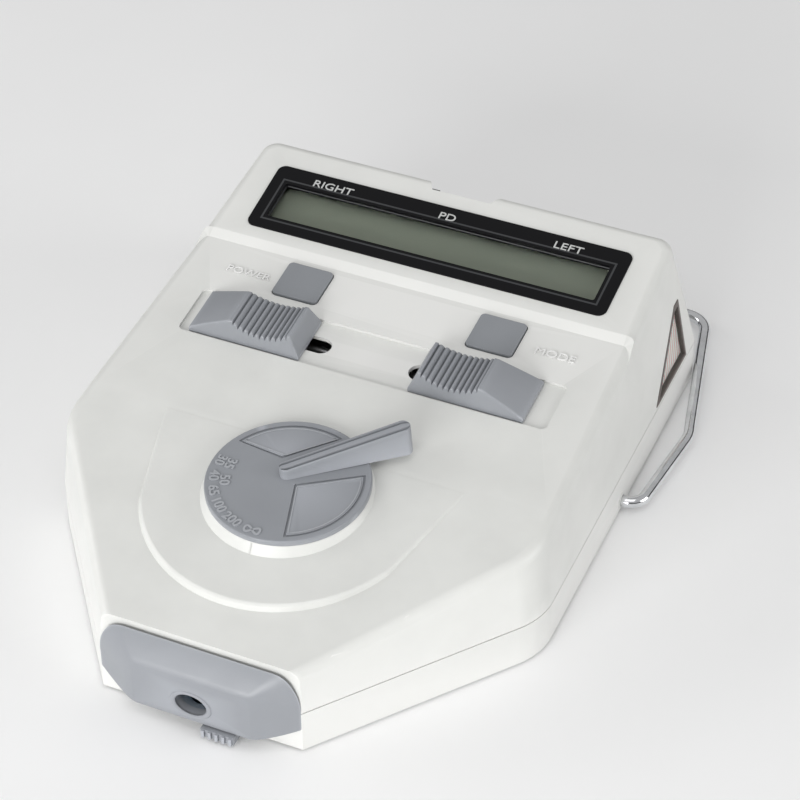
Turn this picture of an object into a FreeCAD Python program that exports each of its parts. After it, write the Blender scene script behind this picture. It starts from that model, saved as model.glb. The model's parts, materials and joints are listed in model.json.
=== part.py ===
"""Digital pupillometer (PD meter) as an assembly of separate solids, in millimetres.

+Z is up, the rubber feet stand on z = 0, +X points to the patient's left-eye slider and
+Y points to the patient's face.  The origin is the middle of the whole instrument, folded
forehead rest included, on the table.  Lengths are first given from the housing's own datum
and every finished piece is then moved by frame_shift along Y.
"""
import FreeCAD, Part

import math
import os
import re

from FreeCAD import Placement, Rotation, Vector
from Sketcher import Constraint

DIMENSIONS = [
    # housing outline at the parting line
    ("foot_drop", 0.8, "rubber feet below the housing floor"),
    ("parting", 16.2, "height of the joint between the two housings"),
    ("seam", 0.2, "half of the visible gap at that joint"),
    ("wall", 2.4, "wall of both housings"),
    ("nose_half", 34.2, "half width of the examiner end"),
    ("nose_y", -103.8, "examiner end of the housing"),
    ("hip_half", 85.1, "half width where the tapering nose starts"),
    ("hip_y", -37.0, "where the tapering nose starts"),
    ("tail_half", 82.0, "half width at the patient end"),
    ("tail_y", 117.5, "patient end at the parting line"),
    ("crown", 70.0, "height at which the upper outline is given"),
    ("crown_nose_half", 30.5, "half width of the nose up there"),
    ("crown_nose_y", -98.6, "examiner end up there"),
    ("crown_hip_half", 79.7, "hip half width up there"),
    ("crown_hip_y", -34.6, "hip up there"),
    ("crown_tail_half", 75.0, "tail half width up there"),
    ("crown_tail_y", 100.4, "patient end up there"),
    ("hip_round", 24.0, "plan radius of the hip corners"),
    ("tail_round", 6.0, "plan radius of the tail corners"),
    ("rim_round", 3.6, "radius of the upper edge"),
    # roof line
    ("deck_height", 47.3, "main deck height above the datum"),
    ("deck_tilt", 7.52, "main deck tilt in degrees"),
    ("apron_y", -20.0, "where the apron leaves the main deck"),
    ("apron_tilt", 9.25, "apron tilt in degrees"),
    ("riser_y", 54.3, "foot of the display riser"),
    ("riser_run", 3.2, "riser length"),
    ("panel_height", 44.16, "display panel plane above the datum"),
    ("panel_tilt", 12.02, "display panel tilt in degrees"),
    ("roof_wall", 2.6, "roof thickness"),
    # distance dial
    ("dial_y", -40.3, "dial axis"),
    ("dial_z", 45.9, "top of the dial at its axis"),
    ("dial_tilt", 4.87, "dial tilt in degrees"),
    ("dial_radius", 26.3, "dial radius"),
    ("dial_thick", 1.9, "dial thickness"),
    ("boss_top_radius", 26.1, "top of the dial boss"),
    ("plateau_radius", 46.5, "raised land around the dial"),
    ("plateau_flare", 52.5, "half width where the land fades out"),
    ("shaft_radius", 4.0, "dial shaft radius"),
    ("running", 0.08, "radial running clearance"),
    ("lever_turn", 40.6, "direction of the dial lever in degrees"),
    ("lever_length", 41.6, "lever length"),
    ("lever_start", -2.5, "narrow end of the lever from its hub point"),
    ("lever_hub_x", -1.5, "hub point of the lever from the dial axis"),
    ("lever_hub_y", 2.3, "hub point of the lever from the dial axis"),
    ("lever_low", 3.5, "lever height at its narrow end"),
    ("lever_high", 9.0, "lever height at its tip"),
    ("cam_radius", 7.0, "dial cam radius at rest"),
    ("follower_room", 3.8, "from the cam's edge to the follower's axis, with room for the tilt of the dial"),
    ("cam_rise", 4.5, "cam rise in mm per radian"),
    # sliders
    ("plateau_reach", 18.0, "distance from the dial axis to the raised land's rear edge"),
    ("recess_half", 65.5, "half length of the slider recess"),
    ("recess_y", 21.0, "middle of the slider recess"),
    ("recess_width", 20.4, "width of the slider recess"),
    ("recess_depth", 1.1, "depth of the slider recess"),
    ("knob_length", 40.0, "slider knob length"),
    ("knob_width", 18.4, "slider knob width"),
    ("knob_height", 8.3, "slider knob height above the recess"),
    ("knob_ramp", 14.8, "smooth ramp at the outer end"),
    ("right_eye_x", -41.6, "right-eye knob at rest"),
    ("left_eye_x", 37.5, "left-eye knob at rest"),
    ("slot_inner", 14.0, "inner end of each slot"),
    ("slot_outer", 39.9, "outer end of each slot"),
    ("slot_width", 7.0, "slot width"),
    ("neck_offset", 8.9, "neck of the knob towards the middle"),
    ("gap", 0.3, "clearance between moving pieces"),
    ("rod_radius", 1.5, "guide rod radius"),
    # keys
    ("key_x", 35.1, "key middle from the centre line"),
    ("key_y", 44.1, "key middle"),
    ("key_width", 16.4, "key width"),
    ("key_length", 15.6, "key length"),
    ("key_round", 1.6, "key corner radius"),
    ("lamp_lift", -17.0, "fixation lamp below the deck"),
    ("key_proud", 1.0, "key top above the deck"),
    # display
    ("bezel_half", 65.5, "half length of the bezel"),
    ("bezel_front", 61.9, "front edge of the bezel"),
    ("bezel_back", 91.1, "back edge of the bezel"),
    ("glass_half", 59.9, "half length of the display opening"),
    ("glass_front", 67.5, "front edge of the display opening"),
    ("glass_back", 83.5, "back edge of the display opening"),
    # eyepiece cap
    ("cap_front", -110.0, "front face of the cap"),
    ("cap_half", 20.6, "half width of the front face"),
    ("cap_low", 4.4, "lower edge of the front face"),
    ("cap_high", 22.6, "upper edge of the front face"),
    ("cap_back_low", 8.6, "lower edge of the cap at the housing"),
    ("cap_back_high", 29.6, "upper edge of the cap at the housing"),
    ("eye_z", 11.8, "height of the eyepiece axis"),
    ("eye_radius", 5.3, "eyepiece opening radius"),
    # eye selector
    ("tab_x", 8.9, "selector tab at rest"),
    ("tab_width", 11.2, "selector tab width"),
    ("tab_travel", 8.9, "selector travel each way"),
    # forehead rest
    ("wire_radius", 2.0, "wire radius of the forehead rest"),
    ("wire_z", 4.3, "height of the folded wire"),
    ("pivot_y", 37.2, "pivot axis of the forehead rest"),
    ("wire_out", 93.2, "widest part of the wire"),
    ("wire_knee_y", 77.0, "where the wire turns inwards"),
    ("bar_half", 77.5, "half length of the cross bar"),
    ("bar_y", 141.0, "cross bar"),
    ("sleeve_radius", 3.9, "soft sleeve on the cross bar"),
    # nose recess and eye windows
    ("nose_slot", 14.7, "half width of the nose recess at the top"),
    ("nose_lean", 8.0, "lean of the nose recess in degrees"),
    ("eye_window_x", 36.0, "middle of each eye window"),
    ("eye_window_width", 26.0, "eye window width"),
    ("eye_window_height", 20.0, "eye window height"),
    ("eye_window_z", 36.0, "middle of the eye windows"),
    # batteries
    ("cell_radius", 7.2, "AA cell radius"),
    ("cell_length", 49.2, "AA cell length without its pip"),
    ("bay_x", -50.0, "middle of the battery bay"),
    ("bay_half", 26.5, "half length of the battery bay"),
    ("bay_front", 83.0, "front of the battery bay"),
    ("frame_shift", -16.575, "from the housing datum to the middle of the whole"),
]

doc = FreeCAD.newDocument("Pupillometer")
sheet = doc.addObject("Spreadsheet::Sheet", "Dims")
for row, (alias, value, meaning) in enumerate(DIMENSIONS, start=1):
    sheet.set(f"A{row}", meaning)
    sheet.set(f"B{row}", str(value))
    sheet.setAlias(f"B{row}", alias)
doc.recompute()
ALIASES = {alias for alias, _, _ in DIMENSIONS}

X_AXIS, Y_AXIS, Z_AXIS = Vector(1, 0, 0), Vector(0, 1, 0), Vector(0, 0, 1)
HERE = Placement()
FACING_FRONT = Placement(Vector(), Rotation(X_AXIS, 90))
FACING_SIDE = Placement(Vector(), Rotation(Vector(1, 1, 1), 120))
THROUGH = 300
pieces = []


def bound(text):
    """An expression with each alias written as a cell of the sheet."""
    return re.sub(r"[a-z]\w*", lambda word: f"Dims.{word.group()}" if word.group() in ALIASES else word.group(),
                  str(text))


def number(text):
    return float(sheet.evalExpression(bound(text)))


def at(x=0, y=0, z=0, tilt=0):
    """A frame at a point, tilted about X so that its +Y climbs."""
    return Placement(Vector(number(x), number(y), number(z)), Rotation(X_AXIS, number(tilt)))


def deck(y, lift=0):
    """A frame lying on the main deck at y, lifted along the deck's normal."""
    flat = at(0, y, f"deck_height + ({y}) * tan(deck_tilt)", "deck_tilt")
    return flat.multiply(Placement(Vector(0, 0, number(lift)), Rotation()))


def panel(y, lift=0):
    """A frame lying on the display panel at y, lifted along the panel's normal."""
    flat = at(0, y, f"panel_height + ({y}) * tan(panel_tilt)", "panel_tilt")
    return flat.multiply(Placement(Vector(0, 0, number(lift)), Rotation()))


def dial_frame(lift=0):
    """A frame on the top of the dial at its axis, lifted along the axis."""
    return at(0, "dial_y", "dial_z", "dial_tilt").multiply(Placement(Vector(0, 0, number(lift)), Rotation()))


def moved(frame, x=0, y=0, z=0):
    return frame.multiply(Placement(Vector(number(x), number(y), number(z)), Rotation()))


# ---------------------------------------------------------------- drawing and features

def new_body(label):
    body = doc.addObject("PartDesign::Body", label)
    body.Label = label
    return body


def new_sketch(body, frame=HERE):
    """A sketch on the body's XY plane, moved to a frame."""
    sketch = body.newObject("Sketcher::SketchObject", f"{body.Name}_sketch")
    plane = next(item for item in body.Origin.OriginFeatures if item.Role == "XY_Plane")
    sketch.AttachmentSupport = [(plane, "")]
    sketch.MapMode = "FlatFace"
    sketch.AttachmentOffset = frame
    return sketch


def bind(sketch, kind, *where, size):
    """A dimension of a sketch, bound to an expression of the sheet."""
    index = sketch.addConstraint(Constraint(kind, *where, number(size)))
    sketch.setExpression(f"Constraints[{index}]", bound(size))


def polygon(sketch, corners):
    """A closed outline; each corner is a pair of expressions."""
    points = [Vector(number(x), number(y), 0) for x, y in corners]
    first = sketch.GeometryCount
    for start, end in zip(points, points[1:] + points[:1]):
        sketch.addGeometry(Part.LineSegment(start, end), False)
    for index in range(len(points)):
        following = first + (index + 1) % len(points)
        sketch.addConstraint(Constraint("Coincident", first + index, 2, following, 1))
    for index, (x, y) in enumerate(corners):
        bind(sketch, "DistanceX", -1, 1, first + index, 1, size=x)
        bind(sketch, "DistanceY", -1, 1, first + index, 1, size=y)


def rectangle(sketch, x, y, width, length):
    left, right = f"{x} - ({width}) / 2", f"{x} + ({width}) / 2"
    low, high = f"{y} - ({length}) / 2", f"{y} + ({length}) / 2"
    polygon(sketch, [(left, low), (right, low), (right, high), (left, high)])


def circle(sketch, x, y, radius):
    index = sketch.addGeometry(Part.Circle(Vector(number(x), number(y), 0), Z_AXIS, number(radius)), False)
    bind(sketch, "DistanceX", -1, 1, index, 3, size=x)
    bind(sketch, "DistanceY", -1, 1, index, 3, size=y)
    bind(sketch, "Radius", index, size=radius)


def obround(sketch, left, right, y, width):
    """A slot with round ends from left to right."""
    radius = number(width) / 2
    start, end, middle = number(left) + radius, number(right) - radius, number(y)
    quarter = math.pi / 2
    sketch.addGeometry([
        Part.LineSegment(Vector(start, middle - radius, 0), Vector(end, middle - radius, 0)),
        Part.ArcOfCircle(Part.Circle(Vector(end, middle, 0), Z_AXIS, radius), -quarter, quarter),
        Part.LineSegment(Vector(end, middle + radius, 0), Vector(start, middle + radius, 0)),
        Part.ArcOfCircle(Part.Circle(Vector(start, middle, 0), Z_AXIS, radius), quarter, 3 * quarter)], False)


def extrude(kind, body, sketch, length, back=False, both=False, taper=0):
    """A Pad or a Pocket of a sketch, its length bound to the sheet."""
    feature = body.newObject(f"PartDesign::{kind}", f"{body.Name}_{kind}")
    feature.Profile = sketch
    feature.setExpression("Length", bound(length))
    feature.Reversed = back
    feature.Midplane = both
    if taper:
        feature.setExpression("TaperAngle", bound(taper))
    sketch.Visibility = False
    doc.recompute()
    return feature


def pad(body, sketch, length, **options):
    return extrude("Pad", body, sketch, length, **options)


def pocket(body, sketch, length, **options):
    """A Pocket that is checked to remove something."""
    before = body.Shape.Volume
    feature = extrude("Pocket", body, sketch, length, **options)
    if feature.Shape.isNull() or feature.Shape.Volume > before - 0.01:
        raise ValueError(f"{feature.Name} cuts nothing")
    return feature


def loft(body, lower, upper):
    feature = body.newObject("PartDesign::AdditiveLoft", f"{body.Name}_loft")
    feature.Profile = lower
    feature.Sections = [upper]
    feature.Ruled = True
    doc.recompute()
    return feature


def dress(kind, body, chosen, size):
    """A Fillet or Chamfer on the edges for which chosen(edge) is true."""
    base = body.Tip
    names = [f"Edge{i}" for i, edge in enumerate(base.Shape.Edges, start=1) if chosen(edge)]
    feature = body.newObject(f"PartDesign::{kind}", f"{body.Name}_{kind}")
    feature.Base = (base, names)
    feature.setExpression("Radius" if kind == "Fillet" else "Size", bound(size))
    doc.recompute()
    return feature


def middle(edge):
    return edge.valueAt((edge.FirstParameter + edge.LastParameter) / 2)


def run(edge):
    """Unit vector from the edge's start to its end."""
    span = edge.valueAt(edge.LastParameter) - edge.valueAt(edge.FirstParameter)
    return span.normalize() if span.Length > 0 else span


def upright(edge):
    return abs(run(edge).z) > 0.9


def block(label, x, y, z, width, length, height, frame=HERE):
    """A box given by the middle of its lower face."""
    box = doc.addObject("Part::Box", label)
    for name, size in (("Length", width), ("Width", length), ("Height", height)):
        box.setExpression(name, bound(size))
    corner = Vector(number(x) - number(width) / 2, number(y) - number(length) / 2, number(z))
    box.Placement = frame.multiply(Placement(corner, Rotation()))
    return box


def rod(label, frame, radius, length):
    """A cylinder along the +Z of its frame."""
    cylinder = doc.addObject("Part::Cylinder", label)
    cylinder.setExpression("Radius", bound(radius))
    cylinder.setExpression("Height", bound(length))
    cylinder.Placement = frame
    return cylinder


def along_x(x, y, z):
    return Placement(Vector(number(x), number(y), number(z)), Rotation(Y_AXIS, 90))


def along_y(x, y, z):
    return Placement(Vector(number(x), number(y), number(z)), Rotation(X_AXIS, -90))


def fuse(label, parts):
    joined = doc.addObject("Part::MultiFuse", label)
    joined.Shapes = parts
    doc.recompute()
    return joined


def cut(label, base, tools):
    tool = tools[0] if len(tools) == 1 else fuse(f"{label}_tools", tools)
    result = doc.addObject("Part::Cut", label)
    result.Base, result.Tool = base, tool
    doc.recompute()
    return result


def group(label, parts):
    """Separate solids kept in one node."""
    together = doc.addObject("Part::Compound", label)
    together.Links = parts
    doc.recompute()
    return together


def keep(piece, name, frame=HERE):
    """Names a finished sub-part and puts it in its place."""
    piece.Label = name
    shift = Placement(Vector(0, number("frame_shift"), 0), Rotation())
    piece.Placement = shift.multiply(frame).multiply(piece.Placement)
    pieces.append(piece)
    return piece


# ---------------------------------------------------------------- housings

def outline(grow="0", level="parting"):
    """Plan corners of the housing at the parting line or at the crown."""
    name = "" if level == "parting" else "crown_"
    nose, hip, tail = f"{name}nose", f"{name}hip", f"{name}tail"
    right = [(f"{nose}_half + {grow} * 0.5", f"{nose}_y - ({grow})"), (f"{hip}_half + ({grow})", f"{hip}_y"),
             (f"{tail}_half + ({grow})", f"{tail}_y + ({grow})")]
    return right + [(f"-({x})", y) for x, y in reversed(right)]


def roof_line(drop):
    """Side view of the space above the roof, lowered by drop; x is along Y and y along Z."""
    def on_deck(y):
        return f"deck_height + ({y}) * tan(deck_tilt) - ({drop})"

    def on_panel(y):
        return f"panel_height + ({y}) * tan(panel_tilt) - ({drop})"
    far_front, far_back, top = "-150", "150", "120"
    apron_end = f"{on_deck('apron_y')} + (-150 - apron_y) * tan(apron_tilt)"
    return [(far_front, apron_end), ("apron_y", on_deck("apron_y")), ("riser_y", on_deck("riser_y")),
            ("riser_y + riser_run", on_panel("riser_y + riser_run")), (far_back, on_panel(far_back)),
            (far_back, top), (far_front, top)]


def roofed_block(name, grow, drop, low):
    """The drafted housing block between low and the roof, all faces moved in by grow and drop."""
    body = new_body(name)
    lower = new_sketch(body, at(0, 0, low))
    polygon(lower, outline(grow))
    upper = new_sketch(body, at(0, 0, "crown"))
    polygon(upper, outline(grow, "crown"))
    loft(body, lower, upper)
    above = new_sketch(body, FACING_SIDE)
    polygon(above, roof_line(drop))
    pocket(body, above, THROUGH, both=True)
    return body


def roof_height(y):
    if y < number("apron_y"):
        return number(f"deck_height + apron_y * tan(deck_tilt) + ({y} - apron_y) * tan(apron_tilt)")
    if y < number("riser_y"):
        return number(f"deck_height + ({y}) * tan(deck_tilt)")
    return number(f"panel_height + ({y}) * tan(panel_tilt)")


def on_rim(edge):
    """Edges where the roof meets the side and patient-end walls."""
    point = middle(edge)
    return abs(point.z - roof_height(point.y)) < 0.6 and (abs(point.x) > 31 or point.y > 90)


def corner_edge(y_low, y_high):
    def chosen(edge):
        point = middle(edge)
        return abs(run(edge).z) > 0.7 and y_low < point.y < y_high
    return chosen


def nose_tool(name, grow):
    """The leaning recess for the bridge of the nose, grown outwards by grow."""
    body = new_body(name)
    sketch = new_sketch(body, at(0, f"crown_tail_y - 3.4 - ({grow})", 66, "-nose_lean"))
    half = f"nose_slot + {grow}"
    polygon(sketch, [(f"-({half}) + 4", "0"), (f"{half} - 4", "0"), (half, "7"), (f"{half} + 14", "60"),
                     (f"-({half}) - 14", "60"), (f"-({half})", "7")])
    pad(body, sketch, 170, both=True)
    return body


outer = roofed_block("upper_outer", "0", "0", "parting + seam")
dress("Fillet", outer, corner_edge(-45, -20), "hip_round")
dress("Fillet", outer, corner_edge(90, 130), "tail_round")
dress("Fillet", outer, on_rim, "rim_round")


def land_outline(sketch):
    """The raised land: an arc around the dial whose ends run out to the flanks."""
    radius = number("plateau_radius")
    ends = [math.radians(205), math.radians(335)]
    left, right = [Vector(radius * math.cos(angle), radius * math.sin(angle), 0) for angle in ends]
    reach = number("plateau_reach")
    fade_left = Vector(-number("plateau_flare"), reach, 0)
    fade_right = Vector(number("plateau_flare"), reach, 0)
    sketch.addGeometry([
        Part.ArcOfCircle(Part.Circle(Vector(), Z_AXIS, radius), *ends),
        Part.LineSegment(right, fade_right), Part.LineSegment(fade_right, fade_left),
        Part.LineSegment(fade_left, left)], False)


land = new_sketch(outer, deck("dial_y"))
land_outline(land)
pad(outer, land, 6, back=True, taper=30)
boss = new_sketch(outer, dial_frame("-dial_thick - gap"))
circle(boss, 0, 0, "boss_top_radius")
pad(outer, boss, 8, back=True, taper=38)


def land_edge(edge):
    """The front of the raised land's upper edge."""
    point = middle(edge)
    reach = math.hypot(point.x, point.y - number("dial_y"))
    on_deck = number("deck_height") + point.y * math.tan(math.radians(number("deck_tilt")))
    return abs(reach - number("plateau_radius")) < 1 and abs(point.z - on_deck) < 0.2


dress("Fillet", outer, land_edge, 1.2)

nose_recess = nose_tool("nose_recess", "0")
nose_shell = nose_tool("nose_shell", "wall")
inner = roofed_block("upper_inner", "(-wall)", "roof_wall", "parting - 1")
dress("Fillet", inner, corner_edge(-45, -20), "hip_round - wall")
dress("Fillet", inner, corner_edge(90, 130), "tail_round - wall")
upper_cavity = cut("upper_cavity", inner, [nose_shell])


def plate_tool(name, frame, width, length, height, corner, x=0, y=0):
    """A rounded rectangular prism standing on a frame."""
    body = new_body(name)
    sketch = new_sketch(body, frame)
    rectangle(sketch, x, y, width, length)
    pad(body, sketch, height)
    if corner:
        axis = frame.Rotation.multVec(Z_AXIS)
        dress("Fillet", body, lambda edge: abs(run(edge).dot(axis)) > 0.99, corner)
    return body


def slot_tool(name, left, right):
    body = new_body(name)
    sketch = new_sketch(body, deck("recess_y", -8))
    obround(sketch, left, right, 0, "slot_width")
    pad(body, sketch, 12)
    return body


def tail_frame(z, lift=0, x=0):
    """A frame on the leaning patient-end wall: +Z outwards, +Y downwards."""
    lean = math.degrees(math.atan2(number("tail_y - crown_tail_y"), number("crown - parting")))
    y = number(f"tail_y - ({z} - parting) * (tail_y - crown_tail_y) / (crown - parting)")
    face = Placement(Vector(number(x), y, number(z)), Rotation(X_AXIS, lean - 90))
    return face.multiply(Placement(Vector(0, 0, number(lift)), Rotation()))


def side_prism(name, margin):
    """The wedge of the side windows, through both flanks, shrunk by margin."""
    body = new_body(name)
    sketch = new_sketch(body, FACING_SIDE)
    polygon(sketch, [(f"71.5 + 2.6 * {margin}", f"17.6 + {margin}"), (f"103 - {margin}", f"17.6 + {margin}"),
                     (f"99.5 - {margin}", f"43 - 2 * {margin}"), (f"95.5 - 0.3 * {margin}", f"43 - 2 * {margin}")])
    pad(body, sketch, THROUGH, both=True)
    return body


def post(x, y, low, high, radius, name="post"):
    return rod(name, at(x, y, low), radius, f"{high} - ({low})")


SCREW_PLACES = [("72", "-22"), ("-72", "-22"), ("72", "54"), ("-72", "54")]
FOOT_PLACES = [("62", "-40"), ("-62", "-40"), ("66", "74"), ("-66", "74")]
SIDES = {"right_eye": -1, "left_eye": 1}

shell = cut("upper_shell", outer, [nose_recess, upper_cavity])
posts = [rod("upper_post", at(x, y, "parting + seam"), 4,
             roof_height(number(y)) - 1.3 - number("parting + seam")) for x, y in SCREW_PLACES]
upper_openings = [
    plate_tool("recess_tool", deck("recess_y", "-recess_depth"), "2 * recess_half", "recess_width", 8, 2),
    slot_tool("right_slot", "-slot_outer", "-slot_inner"),
    slot_tool("left_slot", "slot_inner", "slot_outer"),
    plate_tool("bezel_rebate", panel("(bezel_front + bezel_back) / 2", -0.9),
               "2 * bezel_half + 0.2", "bezel_back - bezel_front + 0.2", 6, 3),
    plate_tool("bezel_hole", panel("(bezel_front + bezel_back) / 2", -9), "2 * bezel_half - 5", 23.6, 12, 2),
    rod("dial_bore", dial_frame(-20), "shaft_radius + running", 40),
    rod("barrel_hole_up", along_y(0, -115, "eye_z"), 6.7, 20),
    side_prism("wedge_hole", "0"),
]
for name, side in SIDES.items():
    upper_openings.append(plate_tool(f"{name}_key_hole", deck("key_y", -8), "key_width + 2 * gap",
                                     "key_length + 2 * gap", 12, "key_round + gap", x=f"{side} * key_x"))
    upper_openings.append(plate_tool(f"{name}_window_hole", tail_frame("eye_window_z", -8, f"{side} * eye_window_x"),
                                     "eye_window_width", "eye_window_height", 16, 3))
    upper_openings.append(plate_tool(f"{name}_window_rebate", tail_frame("eye_window_z", -1.3, f"{side} * eye_window_x"),
                                     "eye_window_width + 4", "eye_window_height + 4", 6, 4))
for x, y in SCREW_PLACES:
    upper_openings.append(rod("thread_hole", at(x, y, "parting - 1"), 1.4, 10))
keep(cut("upper_housing_solid", fuse("upper_with_posts", [shell] + posts), upper_openings), "upper_housing")


# lower housing
def tray(name, grow, low, high):
    """A straight slab of the housing outline between two heights."""
    body = new_body(name)
    sketch = new_sketch(body, at(0, 0, low))
    polygon(sketch, outline(grow))
    pad(body, sketch, f"{high} - ({low})")
    dress("Fillet", body, corner_edge(-45, -20), f"hip_round + ({grow})")
    dress("Fillet", body, corner_edge(90, 130), f"tail_round + ({grow})")
    return body


tub = tray("lower_outer", "0", "foot_drop", "parting - seam")
tub_hollow = cut("lower_hollow", tray("lower_inner", "(-wall)", "foot_drop + wall", "parting + 1"), [nose_shell])
lip = cut("lip", tray("lip_outer", "(-wall - 0.7)", 13, "parting + 1.2"),
          [tray("lip_inner", "(-wall - 1.8)", 11, "parting + 4"), nose_shell])
lip_root = cut("lip_root", tray("root_outer", "(-wall + 0.3)", 12, "parting - seam"),
               [tray("root_inner", "(-wall - 1.8)", 11, "parting + 4"), nose_shell])
tub_shell = cut("tub_shell", tub, [nose_recess, tub_hollow])
columns = [post(x, y, "foot_drop + 1", "parting - seam", 4, "lower_column") for x, y in SCREW_PLACES]
bay_walls = [block("bay_front_wall", "bay_x", "bay_front - 1", "foot_drop + 1", "2 * bay_half + 2.4", 1.6, 14),
             block("bay_end_wall", "bay_x + bay_half + 0.8", "(bay_front + 114) / 2", "foot_drop + 1", 1.6,
                   "114 - bay_front", 12)]
lower_openings = [
    rod("barrel_hole_low", along_y(0, -115, "eye_z"), 6.7, 20),
    block("selector_slot", 0, -103, 3.4, "2 * tab_travel + 12", 8, 2),
    rod("bush_hole_right", along_x(70, "pivot_y", "wire_z"), 2.9, 20),
    rod("bush_hole_left", along_x(-90, "pivot_y", "wire_z"), 2.9, 20),
    block("bay_hole", "bay_x", "(bay_front + 120) / 2", 0, "2 * bay_half - 2", "120 - bay_front", 3.4),
    block("bay_groove", "bay_x", "(bay_front + 120) / 2", 1.3, "2 * bay_half + 1.4", "120 - bay_front", 1.4),
]
for x, y in SCREW_PLACES:
    lower_openings.append(rod("screw_hole", at(x, y, 0), 1.7, 20))
    lower_openings.append(rod("screw_counterbore", at(x, y, 0), 3.1, 4))
for x, y in FOOT_PLACES:
    lower_openings.append(rod("foot_recess", at(x, y, 0), 5, 1.6))
keep(cut("lower_housing_solid", fuse("lower_with_walls", [tub_shell, lip, lip_root] + columns + bay_walls),
         lower_openings), "lower_housing")


# ---------------------------------------------------------------- eyepiece end
def cap_section(sketch, half, low, high, shoulder):
    """A trapezium with clipped upper corners; x is along X and y along Z."""
    polygon(sketch, [(f"-({half})", low), (half, low), (half, f"{high} - ({shoulder})"),
                     (f"{half} - ({shoulder}) * 0.5", high), (f"-({half}) + ({shoulder}) * 0.5", high),
                     (f"-({half})", f"{high} - ({shoulder})")])


cap = new_body("cap")
cap_back = new_sketch(cap, Placement(Vector(0, number("nose_y"), 0), FACING_FRONT.Rotation))
cap_section(cap_back, "nose_half - 0.2", "cap_back_low", "cap_back_high", 9)
cap_face = new_sketch(cap, Placement(Vector(0, number("cap_front"), 0), FACING_FRONT.Rotation))
cap_section(cap_face, "cap_half", "cap_low", "cap_high", 3)
loft(cap, cap_back, cap_face)
dress("Fillet", cap, lambda edge: abs(middle(edge).y - number("cap_front")) < 0.3, 1.2)
cap_holes = [rod("eye_opening", along_y(0, -112, "eye_z"), "eye_radius", 10),
             rod("barrel_seat", along_y(0, "cap_front + 1.6", "eye_z"), 6.6, 10),
             block("selector_run", 0, -105, 3, "2 * tab_travel + 14", 6.6, 2.4)]
keep(cut("cap_solid", cap, cap_holes), "eyepiece_cap")
barrel = cut("barrel", rod("barrel_tube", along_y(0, "cap_front + 1.7", "eye_z"), 6.5, 10.5),
             [rod("barrel_bore", along_y(0, -120, "eye_z"), "eye_radius", 40)])
keep(barrel, "eyepiece_barrel")
keep(rod("lens", along_y(0, "cap_front + 3", "eye_z"), "eye_radius", 2.2), "eyepiece_lens")

tab = block("tab", "tab_x", -108.4, 1.2, "tab_width", 5.2, 2.9)
ribs = [block("tab_rib", f"tab_x + ({index} - 2) * 2.3", -111.3, 1.3, 1.0, 0.9, 2.7) for index in range(5)]
bar = block("tab_bar", "tab_x", -101.6, 3.7, 8, 13, 1.3)
keep(fuse("tab_solid", [tab, bar] + ribs), "selector_tab")
blade = cut("blade", block("blade_plate", "tab_x", -96, 5, 22, 1, 15),
            [rod("blade_window", along_y("tab_x - 8.9", -98, "eye_z"), 2.4, 6)])
keep(blade, "selector_shutter")

# ---------------------------------------------------------------- display and keys
opening_middle = "(glass_front + glass_back) / 2"
bezel_middle = "(bezel_front + bezel_back) / 2"
bezel_flange = plate_tool("bezel_flange", HERE, "2 * bezel_half", "bezel_back - bezel_front", 1.3, 2.9)
bezel_skirt = plate_tool("bezel_skirt", at(0, 0, -2.6), "2 * bezel_half - 5.4", 23.2, 2.8, 1.8)
glass_offset = f"{opening_middle} - {bezel_middle}"
bezel_openings = [plate_tool("glass_opening", at(0, 0, -3), "2 * glass_half", "glass_back - glass_front", 6, 0.8,
                             y=glass_offset),
                  block("glass_rebate", 0, glass_offset, -2.7, "2 * glass_half + 3", 19, 1.7)]
bezel = cut("bezel_solid", fuse("bezel_blank", [bezel_flange, bezel_skirt]), bezel_openings)
keep(bezel, "display_bezel", panel(bezel_middle, -0.9))
keep(block("window_pane", 0, glass_offset, -2.2, "2 * glass_half + 2.8", 18.8, 1.2), "display_window",
     panel(bezel_middle, -0.9))
keep(block("lcd", 0, glass_offset, -5.6, "2 * glass_half + 3", 21, 2), "lcd_panel", panel(bezel_middle, -0.9))
keep(block("board", 0, glass_offset, -8.2, 130, 25, 1.6), "display_board", panel(bezel_middle, -0.9))


def key(side):
    """A square key with a retaining flange below the roof."""
    body = new_body("key_body")
    top = new_sketch(body, at(0, 0, "key_proud"))
    rectangle(top, 0, 0, "key_width", "key_length")
    pad(body, top, "key_proud + 3.1", back=True)
    dress("Fillet", body, upright, "key_round")
    dress("Fillet", body, lambda edge: abs(middle(edge).z - number("key_proud")) < 0.01, 0.4)
    flange = block("key_flange", 0, 0, -4.2, "key_width + 1.8", "key_length + 1.8", 1.2)
    stem = rod("key_stem", at(0, 0, -5.2), 1.6, 1.2)
    name = "main_key" if side < 0 else "mode_key"
    keep(fuse(f"{name}_solid", [body, flange, stem]), name, moved(deck("key_y"), x=f"{side} * key_x"))


for side in SIDES.values():
    key(side)
switches = []
for side in SIDES.values():
    switches.append(block("switch_case", f"{side} * key_x", 0, -9.4, 6, 6, 2.6))
    switches.append(rod("switch_plunger", at(f"{side} * key_x", 0, -6.8), 1.6, 0.6))
keep(group("switches", switches), "key_switches", deck("key_y"))
keep(block("key_board_plate", 0, 0, -11, 92, 14, 1.6), "key_board", deck("key_y"))
keep(fuse("lamp", [rod("lamp_body", at(0, 0, 0), 2.5, 6), rod("lamp_lead", at(0, 0, 5), 0.8, 1)]),
     "fixation_lamp", deck("key_y", "lamp_lift"))

# ---------------------------------------------------------------- sliders
RIB_COUNT = 10


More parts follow.
